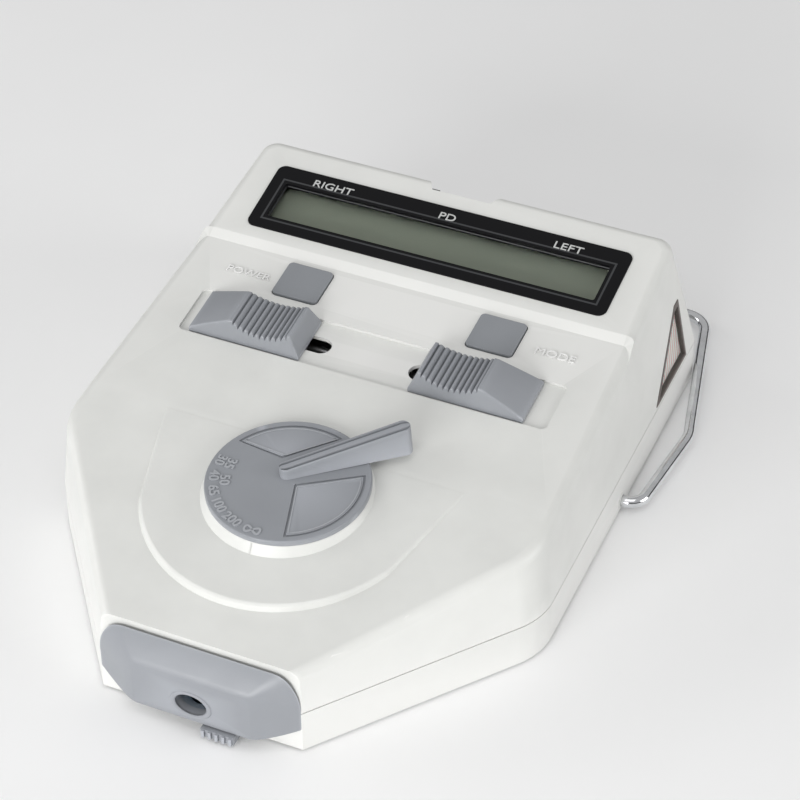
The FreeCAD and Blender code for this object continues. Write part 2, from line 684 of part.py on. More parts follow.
def knob(name, side, rest):
    """A ramped knob with a hollow, ribbed grip; local +X runs from the outer to the inner end."""
    body = new_body(f"{name}_knob_body")
    foot, half, top = 1.0, "knob_width / 2", "knob_height"
    inner_end = "knob_length - 3.3"
    lower = new_sketch(body, at(0, 0, foot))
    polygon(lower, [("0", f"-{half}"), ("knob_length", f"-{half}"), ("knob_length", half), ("0", half)])
    upper = new_sketch(body, at(0, 0, top))
    polygon(upper, [("knob_ramp", f"-{half} + 1.8"), (inner_end, f"-{half} + 1.8"), (inner_end, f"{half} - 1.8"),
                    ("knob_ramp", f"{half} - 1.8")])
    loft(body, lower, upper)
    base = new_sketch(body)
    rectangle(base, "knob_length / 2", 0, "knob_length", "knob_width")
    pad(body, base, foot)
    start, end = number("knob_ramp") + 0.5, number(inner_end) - 0.5
    pitch = (end - start) / RIB_COUNT
    points = [Vector(start, number(top) + 1, 0)]
    for index in range(RIB_COUNT):
        for part, drop in ((0.0, 0.0), (0.12, 1.1), (0.55, 1.1), (0.72, 0.0)):
            along = (index + part) / RIB_COUNT
            hollow = 2.3 * math.sin(math.pi * along) ** 0.8
            points.append(Vector(start + along * RIB_COUNT * pitch, number(top) - hollow - drop, 0))
    points.append(Vector(end, number(top), 0))
    points.append(Vector(end, number(top) + 1, 0))
    grip = new_sketch(body, FACING_FRONT)
    grip.addGeometry([Part.LineSegment(a, b) for a, b in zip(points, points[1:] + points[:1])], False)
    pocket(body, grip, 40, both=True)
    neck = new_sketch(body, at(0, 0, 0.5))
    neck_x = number("knob_length / 2 + neck_offset")
    obround(neck, neck_x - 3.3, neck_x + 3.3, 0, "slot_width - 2 * gap - 0.6")
    pad(body, neck, 4.3, back=True)
    centre = number(rest)
    turn = Rotation() if side < 0 else Rotation(Z_AXIS, 180)
    place = moved(deck("recess_y", "gap - recess_depth"), x=centre)
    place = place.multiply(Placement(turn.multVec(Vector(-number("knob_length") / 2, 0, 0)), turn))
    keep(body, f"{name}_knob", place)
    neck_at = centre - side * number("neck_offset")
    slide = block(f"{name}_slide_block", neck_at, 0, -12.6, 15, 13, 8)
    bores = [rod("rod_bore", along_x(-90, row, -8.6), "rod_radius + running", 180) for row in (-4.2, 4.2)]
    keep(cut(f"{name}_slide_solid", slide, bores), f"{name}_carriage", deck("recess_y"))
    hair = fuse(f"{name}_hair_solid", [block("hair_frame", neck_at, 0, -15.6, 9, 2, 3),
                                       block("hair_line", neck_at, 0, -36, 0.6, 1, 20.6)])
    keep(hair, f"{name}_hairline", deck("recess_y"))


for name, side in SIDES.items():
    knob(name, side, f"{name}_x")
rail_length = 112
keep(group("rods", [rod("guide_rod", along_x(-rail_length / 2, row, -8.6), "rod_radius", rail_length)
                    for row in (-4.2, 4.2)]), "guide_rods", deck("recess_y"))
brackets = []
for x in (-54, 0, 54):
    plate = block("bracket_plate", x, 0, -13, 4, 14, 9)
    brackets.append(cut("bracket", plate, [rod("bracket_hole", along_x(-90, row, -8.6), "rod_radius", 180)
                                           for row in (-4.2, 4.2)]))
keep(group("rail_bracket_set", brackets), "rail_brackets", deck("recess_y"))
keep(group("strips", [block("strip", f"{side} * 28", 8.2, -12, 44, 0.8, 5) for side in SIDES.values()]),
     "encoder_strips", deck("recess_y"))

# ---------------------------------------------------------------- distance dial


def sector(sketch, apex, radius, start, end, inset):
    """A pie sector drawn from an apex off the axis, shrunk by inset."""
    start, end = start + math.degrees(inset / radius), end - math.degrees(inset / radius)
    bisector = math.radians((start + end) / 2)
    tip = Vector(apex[0] + 1.4 * inset * math.cos(bisector), apex[1] + 1.4 * inset * math.sin(bisector), 0)
    angles = [math.radians(start), math.radians(end)]
    ends = [Vector((radius - inset) * math.cos(angle), (radius - inset) * math.sin(angle), 0) for angle in angles]
    sketch.addGeometry([Part.ArcOfCircle(Part.Circle(Vector(), Z_AXIS, radius - inset), *angles),
                        Part.LineSegment(ends[1], tip), Part.LineSegment(tip, ends[0])], False)


disc = new_body("disc")
disc_sketch = new_sketch(disc)
circle(disc_sketch, 0, 0, "dial_radius")
pad(disc, disc_sketch, "dial_thick", back=True)
dress("Fillet", disc, lambda edge: abs(middle(edge).z) < 0.01, 0.5)
for apex, start, end in (((2.7, -0.8), -68, 27), ((-6.0, 7.8), 70, 156)):
    groove = new_sketch(disc)
    sector(groove, apex, 24.2, start, end, 0)
    sector(groove, apex, 24.2, start, end, 0.8)
    pocket(disc, groove, 0.5)
keep(disc, "distance_dial", dial_frame())

lever = new_body("lever")
heel = new_sketch(lever, FACING_SIDE)
polygon(heel, [("-2.7", "0"), ("2.7", "0"), ("2.3", "lever_low"), ("-2.3", "lever_low")])
toe = new_sketch(lever, Placement(Vector(number("lever_length"), 0, 0), FACING_SIDE.Rotation))
polygon(toe, [("-5", "0.4"), ("5", "0.4"), ("2.8", "lever_high"), ("-2.8", "lever_high")])
loft(lever, heel, toe)
lever_hub = moved(dial_frame(), x="lever_hub_x", y="lever_hub_y")
lever_place = moved(lever_hub.multiply(Placement(Vector(), Rotation(Z_AXIS, number("lever_turn")))), x="lever_start")
keep(lever, "dial_lever", lever_place)
shaft_place = dial_frame("-13.4")
keep(rod("shaft", HERE, "shaft_radius", "13.4 - dial_thick"), "dial_shaft", shaft_place)

# a spiral face whose radius grows at a constant rate, so lift follows angle
spiral = []
SPIRAL_STEPS = 24
for index in range(SPIRAL_STEPS + 1):
    angle = math.radians(110 - index * 260 / SPIRAL_STEPS)
    reach = number("cam_radius") + number("cam_rise") * (math.radians(90) - angle)
    spiral.append(Vector(reach * math.cos(angle), reach * math.sin(angle), 0))
curve = Part.BSplineCurve()
curve.interpolate(spiral)
closing = Part.LineSegment(spiral[-1], spiral[0])
face = Part.Face(Part.Wire([curve.toShape(), closing.toShape()]))
cam_solid = face.extrude(Vector(0, 0, 3)).cut(Part.makeCylinder(number("shaft_radius"), 5, Vector(0, 0, -1)))
cam = doc.addObject("Part::Feature", "cam")
cam.Shape = cam_solid
keep(cam, "dial_cam", dial_frame(-13.2))

# ---------------------------------------------------------------- focusing lens
follower_y = "dial_y + cam_radius + follower_room"
lens_block = block("lens_block", 0, follower_y, 4.2, 27, 9, 22)
follower = rod("follower", at(0, follower_y, 26), 2, 10.4)
lens_bores = [rod("lens_seat", along_y(0, -60, "eye_z"), 7, 60)]
lens_bores += [rod("lens_rod_bore", along_y(x, -60, 22), "rod_radius + running", 60) for x in (-10.5, 10.5)]
keep(cut("lens_carriage_solid", fuse("lens_blank", [lens_block, follower]), lens_bores), "lens_carriage")
keep(rod("focus", along_y(0, f"{follower_y} - 1.5", "eye_z"), 7, 3), "focus_lens")
keep(group("lens_rod_pair", [rod("lens_rod", along_y(x, -64, 22), "rod_radius", 57) for x in (-10.5, 10.5)]),
     "lens_rods")
cheeks = [block("cheek", x, -36.5, 3.2, 3, 57, 8) for x in (-17, 17)]
cheeks += [block("splitter_cheek", x, 44, 3.2, 2.4, 30, 26) for x in (-19.4, 19.4)]
cheeks += [block("splitter_foot", x, 10, 3.2, 3, 40, 5) for x in (-17, 17)]
walls = []
for y in (-62.5, -9):
    wall_holes = [rod("aperture", along_y(0, y - 5, "eye_z"), 7.5, 10)]
    wall_holes += [rod("rod_seat", along_y(x, y - 5, 22), "rod_radius", 10) for x in (-10.5, 10.5)]
    walls.append(cut("frame_wall", block("frame_plate", 0, y, 3.2, 37, 3, 24), wall_holes))
keep(fuse("frame_solid", cheeks + walls), "optical_frame")
keep(block("splitter", 0, 0, -0.75, 36, 30, 1.5), "beam_splitter", at(0, 44, 16, 45))

# ---------------------------------------------------------------- patient end
for name, side in SIDES.items():
    keep(plate_tool(f"{name}_pane_body", HERE, "eye_window_width + 3.8", "eye_window_height + 3.8", 1.1, 3.9),
         f"{name}_window", tail_frame("eye_window_z", -1.3, f"{side} * eye_window_x"))
pad_block = cut("nose_pad_blank", nose_tool("nose_pad_outer", "(-0.2)"), [nose_tool("nose_pad_inner", "(-2.6)")])
pad_limits = doc.addObject("Part::Common", "nose_pad_solid")
pad_limits.Base = pad_block
pad_limits.Tool = roofed_block("nose_pad_limit", "(-0.6)", "5.5", "parting + 1")
keep(pad_limits, "nose_pad")


def side_layer(name, outside, inside, margin, hollow=None):
    """A thin piece that follows both flanks inside the wedge openings."""
    layer = cut(f"{name}_layer", roofed_block(f"{name}_out", f"({outside})", "0", "parting + seam"),
                [roofed_block(f"{name}_in", f"({inside})", "0", "parting")])
    wedge = side_prism(f"{name}_wedge", margin)
    if hollow:
        wedge = cut(f"{name}_ring", wedge, [side_prism(f"{name}_hollow", hollow)])
    both = doc.addObject("Part::Common", f"{name}_solid")
    both.Base, both.Tool = layer, wedge
    doc.recompute()
    return both


keep(side_layer("gasket", "0.25", "-wall", "0.05", "1.1"), "side_window_gaskets")
keep(side_layer("pane", "-0.5", "-1.5", "1.15"), "side_window_panes")
keep(side_layer("scale", "-1.8", "-2.3", "1.15"), "vertex_scales")

# ---------------------------------------------------------------- forehead rest


def rounded_path(corners):
    """Straight runs joined by tangent arcs; each inner corner carries its radius."""
    edges, start = [], corners[0][0]
    for index in range(1, len(corners) - 1):
        here, radius = corners[index]
        before = (corners[index - 1][0] - here).normalize()
        after = (corners[index + 1][0] - here).normalize()
        half = before.getAngle(after) / 2
        reach = radius / math.tan(half)
        entry, leave = here + before * reach, here + after * reach
        centre = here + (before + after).normalize() * (radius / math.sin(half))
        crest = centre + (here - centre).normalize() * radius
        edges += [Part.LineSegment(start, entry).toShape(), Part.Arc(entry, crest, leave).toShape()]
        start = leave
    edges.append(Part.LineSegment(start, corners[-1][0]).toShape())
    return Part.Wire(edges)


def flat_point(x, y):
    return Vector(number(x), number(y), number("wire_z"))


half_wire = [(flat_point("76", "pivot_y"), 0), (flat_point("89.8", "pivot_y"), 5.5),
             (flat_point("wire_out", "wire_knee_y"), 14), (flat_point("bar_half", "bar_y"), 9)]
mirrored = [(Vector(-point.x, point.y, point.z), radius) for point, radius in reversed(half_wire)]
wire_path = rounded_path(half_wire + mirrored)
section = Part.Wire(Part.Circle(wire_path.Vertexes[0].Point, X_AXIS, number("wire_radius")).toShape())
bail = doc.addObject("Part::Feature", "bail")
bail.Shape = wire_path.makePipeShell([section], True, False)
keep(bail, "forehead_bail")
sleeve = cut("sleeve_solid", rod("sleeve_outer", along_x(-58, "bar_y", "wire_z"), "sleeve_radius", 116),
             [rod("sleeve_bore", along_x(-60, "bar_y", "wire_z"), "wire_radius", 120)])
keep(sleeve, "bail_sleeve")
bushes = []
for side, start in ((1, 77), (-1, -83.9)):
    bushes.append(cut("bush", rod("bush_outer", along_x(start, "pivot_y", "wire_z"), 2.9, 6.9),
                      [rod("bush_bore", along_x(start - 1, "pivot_y", "wire_z"), "wire_radius + running", 10)]))
keep(group("bush_pair", bushes), "bail_bushes")

# ---------------------------------------------------------------- batteries, fasteners, feet
bay_rows = ("bay_front + cell_radius + 0.6", "bay_front + 3 * cell_radius + 1")
cells = []
for index, row in enumerate(bay_rows):
    flip = -1 if index else 1
    level = "cell_radius + 3.5"
    tube = rod("cell_tube", along_x("bay_x - cell_length / 2", row, level), "cell_radius", "cell_length")
    pip = rod("cell_pip", along_x(f"bay_x + {flip} * (cell_length / 2 + 0.65) - 0.65", row, level), 2.6, 1.3)
    cells.append(fuse("cell", [tube, pip]))
keep(group("cell_pair", cells), "batteries")
contacts = [block("contact", f"bay_x + {side} * (bay_half - 0.3)", row, 4, 0.5, 11, 12)
            for side in (-1, 1) for row in bay_rows]
keep(group("contact_set", contacts), "battery_contacts")
cover_y = "(bay_front + 117) / 2"
cover_plate = block("cover_plate", "bay_x", cover_y, 1.0, "2 * bay_half - 2 - 2 * gap", "117 - bay_front - 0.6", 2)
cover_rail = block("cover_rail", "bay_x", cover_y, 1.6, "2 * bay_half + 0.8", "117 - bay_front - 0.6", 0.8)
cover_grips = [block("cover_grip", "bay_x", f"bay_front + 6 + 2.2 * {index}", 0.9, 12, 1, 0.8)
               for index in range(4)]
keep(cut("cover_solid", fuse("cover_blank", [cover_plate, cover_rail]), cover_grips), "battery_cover")
screws = []
for x, y in SCREW_PLACES:
    head = cut("screw_head", rod("screw_cheese", at(x, y, 2), 2.8, 2),
               [block("screw_slot_a", x, y, 1.5, 3.4, 0.8, 1.5), block("screw_slot_b", x, y, 1.5, 0.8, 3.4, 1.5)])
    screws.append(fuse("screw", [head, rod("screw_shank", at(x, y, 3.9), 1.4, 18)]))
keep(group("screw_set", screws), "housing_screws")
keep(group("foot_set", [rod("foot", at(x, y, 0), 4.9, 1.6) for x, y in FOOT_PLACES]), "rubber_feet")

# ---------------------------------------------------------------- checks and files
doc.recompute()
for item in doc.Objects:
    if "Invalid" in item.State or "Error" in item.State:
        raise ValueError(f"{item.Name} did not compute")
os.makedirs("parts", exist_ok=True)
for piece in pieces:
    if piece.Shape.isNull() or not piece.Shape.isValid():
        raise ValueError(f"{piece.Label} is not a valid solid")
    piece.Shape.exportStep(f"parts/{piece.Label}.step")
    print(f"{piece.Label:24s} {len(piece.Shape.Solids)} solids {piece.Shape.Volume:10.1f} mm3")
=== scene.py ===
"""Looks, stage, light and camera of the pupillary distance meter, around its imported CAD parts.

Lengths are in millimetres in the housing's own datum, as in the part's source: place() turns
them into the row frame, in metres.  Every new piece is built in a local frame that lies on
the surface that it belongs to, and rides on the body of the CAD node that it dresses.
"""

import json
import math

import bmesh
import bpy
from mathutils import Matrix, Quaternion, Vector

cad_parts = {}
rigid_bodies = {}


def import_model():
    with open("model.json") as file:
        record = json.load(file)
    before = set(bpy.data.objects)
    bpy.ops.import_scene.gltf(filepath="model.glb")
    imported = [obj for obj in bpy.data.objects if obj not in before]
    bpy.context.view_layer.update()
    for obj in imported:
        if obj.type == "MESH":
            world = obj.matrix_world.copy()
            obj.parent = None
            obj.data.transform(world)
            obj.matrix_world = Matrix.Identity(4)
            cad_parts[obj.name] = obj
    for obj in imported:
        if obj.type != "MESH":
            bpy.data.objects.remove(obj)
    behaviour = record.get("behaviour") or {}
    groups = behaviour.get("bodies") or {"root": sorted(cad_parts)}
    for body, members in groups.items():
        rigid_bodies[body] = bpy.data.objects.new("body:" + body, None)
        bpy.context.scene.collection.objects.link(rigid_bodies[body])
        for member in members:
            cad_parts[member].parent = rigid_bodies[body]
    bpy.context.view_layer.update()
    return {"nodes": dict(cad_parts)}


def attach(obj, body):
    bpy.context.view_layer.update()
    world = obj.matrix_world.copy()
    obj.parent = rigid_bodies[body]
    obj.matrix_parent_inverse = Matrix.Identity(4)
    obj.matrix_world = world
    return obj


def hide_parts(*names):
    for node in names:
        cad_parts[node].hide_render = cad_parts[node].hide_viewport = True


for leftover in list(bpy.data.objects):
    bpy.data.objects.remove(leftover)

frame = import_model()
nodes = frame["nodes"]

MM = 0.001
FRAME_SHIFT = -16.575

# surfaces of the housing: height above the datum and tilt, as in the part's source
DECK = (47.3, 7.52)
PANEL = (44.16, 12.02)
RECESS_Y = 21.0
RECESS_DEPTH = 1.1
GAP = 0.3

DIAL_Y = -40.3
DIAL_Z = 45.9
DIAL_TILT = 4.87
LEVER_TURN = 40.6
LEVER_HUB = (-1.5, 2.3)
LEVER_REACH = 38.2
LEVER_LOW = 3.5
LEVER_HIGH = 8.8
LEVER_END = 2.3
OUTER_NUMERALS = (23.4, {"30": 180, "40": -163, "65": -147, "100": -131, "200": -112})
INNER_NUMERALS = (19.9, {"35": 181, "50": -158})
NUMERAL_SIZE = 4.5
FAR_MARK_ANGLE = -92.5
SECTOR_RADIUS = 22.7
# each sector: its apex and the angles where its arc starts and ends
SECTORS = {"front": ((3.9, -1.9), -64.5, 23.5), "back": ((-5.4, 9.6), 73.5, 152.0)}
BOSS_TOP_RADIUS = 26.1
BOSS_DRAFT = 38.0

KNOB_LENGTH = 40.0
KNOB_WIDTH = 18.4
KNOB_HEIGHT = 8.3
KNOB_RAMP = 14.8
KNOB_CREST_END = 36.7
KNOB_FOOT = 1.0
RIB_COUNT = 10
NECK_HALF = 2.7
NECK_STRETCH = 1.15
NECK_DEPTH = 4.2
NECK_MIDDLE = -1.8
NECK_OFFSET = 8.9
RIGHT_EYE_X = -41.6
LEFT_EYE_X = 37.5

GLASS_HALF = 59.9
GLASS_FRONT = 67.5
GLASS_BACK = 83.5

NOSE_Y = -103.8
CAP_FRONT = -110.0
EYE_Z = 11.8
EYE_RADIUS = 5.3
EYE_SQUASH = 0.76
# the cap's section: half width, underside, top, shoulder and corner softness
CAP_AT_HOUSING = (34.0, 8.6, 29.6, 8.0, 5.0)
CAP_AT_FACE = (20.6, 4.4, 22.6, 2.0, 1.2)
CAP_LOWER_ROUND = 1.6

CAMERA_PLACE = (0.29287, -0.62197, 0.60263)
CAMERA_TURN = (2.222, 0.470, -0.228)
CAMERA_LENS = 122.14


# ---------------------------------------------------------------- frames
def place(x, y, z, tilt=0.0):
    """A local frame in millimetres at a point of the housing datum."""
    there = Matrix.Translation((x * MM, (y + FRAME_SHIFT) * MM, z * MM))
    return there @ Matrix.Rotation(math.radians(tilt), 4, "X") @ Matrix.Scale(MM, 4)


def on_plane(surface, x, y, lift=0.0):
    """A local frame that lies on the deck or the display panel."""
    height, tilt = surface
    base = place(x, y, height + y * math.tan(math.radians(tilt)), tilt)
    return base @ Matrix.Translation((0, 0, lift))


def on_dial(lift=0.0):
    """A local frame on top of the dial, at its axis."""
    return place(0, DIAL_Y, DIAL_Z, DIAL_TILT) @ Matrix.Translation((0, 0, lift))


def polar(radius, angle):
    """The point at a radius and an angle in degrees."""
    turn = math.radians(angle)
    return radius * math.cos(turn), radius * math.sin(turn)


# ---------------------------------------------------------------- materials
class Finish:
    """A node material whose shader inputs are set by name."""

    def __init__(self, name):
        self.material = bpy.data.materials.new(name)
        self.material.use_nodes = True
        self.tree = self.material.node_tree
        self.shader = self.tree.nodes["Principled BSDF"]
        self.coords = self.tree.nodes.new("ShaderNodeTexCoord")

    def node(self, kind, **settings):
        made = self.tree.nodes.new(kind)
        for key, value in settings.items():
            setattr(made, key, value)
        return made

    def link(self, source, target):
        self.tree.links.new(source, target)

    def noise(self, size_mm, detail=3.0, roughness=0.55):
        """Noise whose blotches are about size_mm across."""
        made = self.node("ShaderNodeTexNoise")
        made.inputs["Scale"].default_value = 1.0 / (size_mm * MM)
        made.inputs["Detail"].default_value = detail
        made.inputs["Roughness"].default_value = roughness
        self.link(self.coords.outputs["Object"], made.inputs["Vector"])
        return made.outputs["Fac"]

    def spread(self, source, low, high, start=0.3, end=0.7):
        made = self.node("ShaderNodeMapRange")
        made.inputs["From Min"].default_value = start
        made.inputs["From Max"].default_value = end
        made.inputs["To Min"].default_value = low
        made.inputs["To Max"].default_value = high
        self.link(source, made.inputs["Value"])
        return made.outputs["Result"]

    def blend(self, factor, first, second):
        """A colour mix; first is a colour or a socket."""
        made = self.node("ShaderNodeMix", data_type="RGBA")
        if isinstance(first, tuple):
            made.inputs["A"].default_value = (*first, 1)
        else:
            self.link(first, made.inputs["A"])
        made.inputs["B"].default_value = (*second, 1)
        self.link(factor, made.inputs["Factor"])
        return made.outputs["Result"]

    def edges(self, low=0.52, high=0.62):
        """High on sharp outer edges, by pointiness: the lighter colour mixed in there is wear and a painted
        highlight.
        """
        shape = self.node("ShaderNodeNewGeometry")
        return self.spread(shape.outputs["Pointiness"], 0.0, 1.0, low, high)

    def occlusion_shade(self, reach_mm, most):
        """High in occluded corners, by ambient occlusion: a darker colour mixed in with it paints shade
        there.
        """
        made = self.node("ShaderNodeAmbientOcclusion", samples=6)
        made.inputs["Distance"].default_value = reach_mm * MM
        return self.spread(made.outputs["AO"], most, 0.0, 0.35, 0.95)

    def bump(self, heights):
        """heights: (socket, depth in mm) pairs stacked into one normal."""
        normal = None
        for source, depth in heights:
            made = self.node("ShaderNodeBump")
            made.inputs["Strength"].default_value = 1.0
            made.inputs["Distance"].default_value = depth * MM
            self.link(source, made.inputs["Height"])
            if normal:
                self.link(normal, made.inputs["Normal"])
            normal = made.outputs["Normal"]
        self.link(normal, self.shader.inputs["Normal"])


def plastic(name, colour, rough, grain_mm=0.35, depth=0.02, shade_and_dust=0.25, wear_and_highlight=None, specular=0.5):
    """A spark-textured moulding: fine grain, flow marks, lighter sharp edges that are wear and a painted
    highlight, and darker corners that are dust and painted shade.
    """
    made = Finish(name)
    shade = tuple(channel * 0.93 for channel in colour)
    shade_and_dirt = tuple(channel * 0.62 for channel in colour)
    tone = made.blend(made.spread(made.noise(22.0, 4.0), 0.0, 1.0), colour, shade)
    if wear_and_highlight:
        # wear and painted highlight: a lighter colour on sharp edges
        tone = made.blend(made.edges(), tone, wear_and_highlight)
    # painted shade and dust: a darker colour in occluded corners
    tone = made.blend(made.occlusion_shade(2.4, shade_and_dust), tone, shade_and_dirt)
    made.link(tone, made.shader.inputs["Base Color"])
    made.link(made.spread(made.noise(9.0, 5.0), rough - 0.06, rough + 0.08), made.shader.inputs["Roughness"])
    made.shader.inputs["Specular IOR Level"].default_value = specular
    made.bump([(made.noise(60.0, 1.0), 0.05), (made.noise(grain_mm, 2.0), depth)])
    return made.material


def metal(name, colour, rough, scratch_mm=0.8, depth=0.004):
    made = Finish(name)
    shade = tuple(channel * 0.72 for channel in colour)
    tone = made.blend(made.spread(made.noise(6.0, 6.0), 0.0, 0.6), colour, shade)
    # painted shade: a darker colour in occluded corners
    made.link(made.blend(made.occlusion_shade(1.6, 0.5), tone, (0.09, 0.08, 0.07)), made.shader.inputs["Base Color"])
    made.shader.inputs["Metallic"].default_value = 1.0
    made.link(made.spread(made.noise(3.0, 6.0), rough, rough + 0.12), made.shader.inputs["Roughness"])
    made.bump([(made.noise(scratch_mm, 6.0), depth)])
    return made.material


def clear(name, tint, rough=0.03):
    """A thin clear pane with finger marks."""
    made = Finish(name)
    made.shader.inputs["Base Color"].default_value = (*tint, 1)
    made.shader.inputs["Transmission Weight"].default_value = 1.0
    made.shader.inputs["IOR"].default_value = 1.06
    made.shader.inputs["Specular IOR Level"].default_value = 0.9
    made.link(made.spread(made.noise(30.0, 2.0), rough, rough + 0.02), made.shader.inputs["Roughness"])
    made.bump([(made.noise(80.0, 0.0), 0.001)])
    return made.material


def liquid_crystal(name):
    """Grey-green reflective panel with a fine dot lattice, darker near its rim, where the shade of the bezel
    is painted.
    """
    made = Finish(name)
    tone = made.blend(made.spread(made.noise(120.0, 1.0), 0.0, 1.0), (0.43, 0.445, 0.37), (0.42, 0.43, 0.385))
    # painted shade from the bezel over the panel's rim
    tone = made.blend(made.occlusion_shade(9.0, 0.7), tone, (0.14, 0.15, 0.12))
    made.link(tone, made.shader.inputs["Base Color"])
    made.link(made.spread(made.noise(40.0, 1.0), 0.3, 0.34), made.shader.inputs["Roughness"])
    made.shader.inputs["Specular IOR Level"].default_value = 0.2
    made.bump([(made.noise(0.5, 1.0), 0.002)])
    return made.material


def ruled_card(name):
    """White printed card with fine red graduation lines across its length."""
    made = Finish(name)
    split = made.node("ShaderNodeSeparateXYZ")
    made.link(made.coords.outputs["Object"], split.inputs["Vector"])
    count = made.node("ShaderNodeMath", operation="MULTIPLY")
    count.inputs[1].default_value = 1.0 / (2.0 * MM)
    made.link(split.outputs["Y"], count.inputs[0])
    phase = made.node("ShaderNodeMath", operation="FRACT")
    made.link(count.outputs[0], phase.inputs[0])
    line = made.node("ShaderNodeMath", operation="LESS_THAN")
    line.inputs[1].default_value = 0.2
    made.link(phase.outputs[0], line.inputs[0])
    paper = made.blend(made.noise(12.0, 3.0), (0.86, 0.85, 0.83), (0.78, 0.76, 0.73))
    made.link(made.blend(line.outputs[0], paper, (0.75, 0.18, 0.22)), made.shader.inputs["Base Color"])
    made.link(made.spread(made.noise(4.0), 0.4, 0.55), made.shader.inputs["Roughness"])
    made.bump([(made.noise(0.6), 0.01)])
    return made.material


HOUSING_WHITE = (0.74, 0.745, 0.72)
WARM_GREY = (0.295, 0.308, 0.332)

look = {
    "housing": plastic("housing_abs", HOUSING_WHITE, 0.36, 0.45, 0.012, 0.22, (0.80, 0.80, 0.78)),
    "grey": plastic("grey_abs", WARM_GREY, 0.38, 0.4, 0.014, 0.35, (0.40, 0.415, 0.45)),
    "key": plastic("key_abs", (0.265, 0.278, 0.298), 0.36, 0.4, 0.012, 0.3, (0.36, 0.375, 0.41)),
    "black": plastic("bezel_acrylic", (0.007, 0.007, 0.008), 0.34, 0.9, 0.003, 0.1, None, 0.12),
    # lighter than the dial's grey: a painted highlight on the raised numerals, marks and sector rims
    "numeral": plastic("numeral_painted_highlight", (0.40, 0.415, 0.44), 0.4, 0.3, 0.006, 0.35),
    # darker than the housing white: the painted shadow of the index line
    "index": plastic("index_painted_shadow", (0.62, 0.62, 0.60), 0.4, 0.3, 0.006, 0.3),
    "bevel": plastic("bezel_bevel", (0.045, 0.047, 0.05), 0.42, 0.6, 0.006, 0.2, None, 0.35),
    "inner": plastic("inner_moulding", (0.02, 0.02, 0.022), 0.55, 0.5, 0.02, 0.3, (0.05, 0.05, 0.05)),
    # whiter than the housing: a painted highlight on the raised words
    "raised": plastic("raised_white_painted_highlight", (0.86, 0.86, 0.85), 0.4, 0.3, 0.004, 0.2),
    "rim": plastic("window_rim", (0.15, 0.13, 0.12), 0.6, 0.5, 0.02, 0.3),
    "print": plastic("white_print", (0.58, 0.59, 0.58), 0.5, 0.2, 0.004, 0.1),
    "pane": clear("clear_acrylic", (0.93, 0.96, 0.94)),
    "optic": clear("coated_glass", (0.72, 0.82, 0.90), 0.01),
    "lcd": liquid_crystal("liquid_crystal"),
    "board": plastic("solder_mask", (0.02, 0.12, 0.05), 0.4, 1.2, 0.02, 0.3, (0.25, 0.2, 0.08)),
    "steel": metal("ground_steel", (0.62, 0.62, 0.63), 0.28),
    "brass": metal("turned_brass", (0.66, 0.48, 0.20), 0.25),
    "chrome": metal("chrome_plate", (0.86, 0.87, 0.89), 0.07, 3.0, 0.01),
    "rubber": plastic("soft_rubber", (0.075, 0.078, 0.085), 0.72, 0.5, 0.03, 0.3, (0.12, 0.12, 0.13), 0.3),
    "gasket": plastic("gasket_rubber", (0.035, 0.028, 0.026), 0.62, 0.5, 0.03, 0.3, (0.06, 0.05, 0.05), 0.3),
    "card": ruled_card("ruled_card"),
    "cell": plastic("cell_jacket", (0.05, 0.07, 0.12), 0.32, 3.0, 0.01, 0.2, (0.3, 0.3, 0.32)),
    "lamp": plastic("lamp_body", (0.55, 0.62, 0.30), 0.25, 1.0, 0.005, 0.1),
}

NODE_LOOK = {
    "upper_housing": "housing", "lower_housing": "housing", "battery_cover": "housing",
    "bail_bushes": "housing", "eyepiece_cap": "grey", "selector_tab": "grey",
    "distance_dial": "grey", "dial_lever": "grey",
    "right_eye_knob": "grey", "left_eye_knob": "grey", "main_key": "key", "mode_key": "key",
    "display_bezel": "black", "display_window": "pane", "lcd_panel": "lcd",
    "right_eye_window": "pane", "left_eye_window": "pane", "side_window_panes": "pane",
    "eyepiece_lens": "optic", "focus_lens": "optic", "beam_splitter": "optic",
    "display_board": "board", "key_board": "board", "fixation_lamp": "lamp", "batteries": "cell",
    "nose_pad": "rubber", "bail_sleeve": "rubber", "rubber_feet": "gasket", "side_window_gaskets": "rim",
    "vertex_scales": "card", "forehead_bail": "chrome", "dial_shaft": "brass", "guide_rods": "steel",
    "lens_rods": "steel", "encoder_strips": "steel", "battery_contacts": "steel", "housing_screws": "steel",
    "right_eye_hairline": "steel", "left_eye_hairline": "steel",
}

for name, node in nodes.items():
    node.data.materials.clear()
    node.data.materials.append(look[NODE_LOOK.get(name, "inner")])


# ---------------------------------------------------------------- building pieces
def smooth(mesh, limit=32.0):
    """Smooth shading with edges sharper than the limit kept crisp."""
    shape = bmesh.new()
    shape.from_mesh(mesh)
    for face in shape.faces:
        face.smooth = True
    for edge in shape.edges:
        edge.smooth = len(edge.link_faces) == 2 and edge.calc_face_angle(0.0) < math.radians(limit)
    shape.to_mesh(mesh)
    shape.free()


def add_piece(name, shape, matrix, material, body, replaces=()):
    """Bakes a bmesh through its frame into a piece that rides on a body."""
    shape.transform(matrix)
    bmesh.ops.recalc_face_normals(shape, faces=shape.faces)
    mesh = bpy.data.meshes.new(name)
    shape.to_mesh(mesh)
    shape.free()
    smooth(mesh)
    mesh.materials.append(look[material])
    made = bpy.data.objects.new(name, mesh)
    bpy.context.scene.collection.objects.link(made)
    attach(made, body)
    if replaces:
        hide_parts(*replaces)
    return made


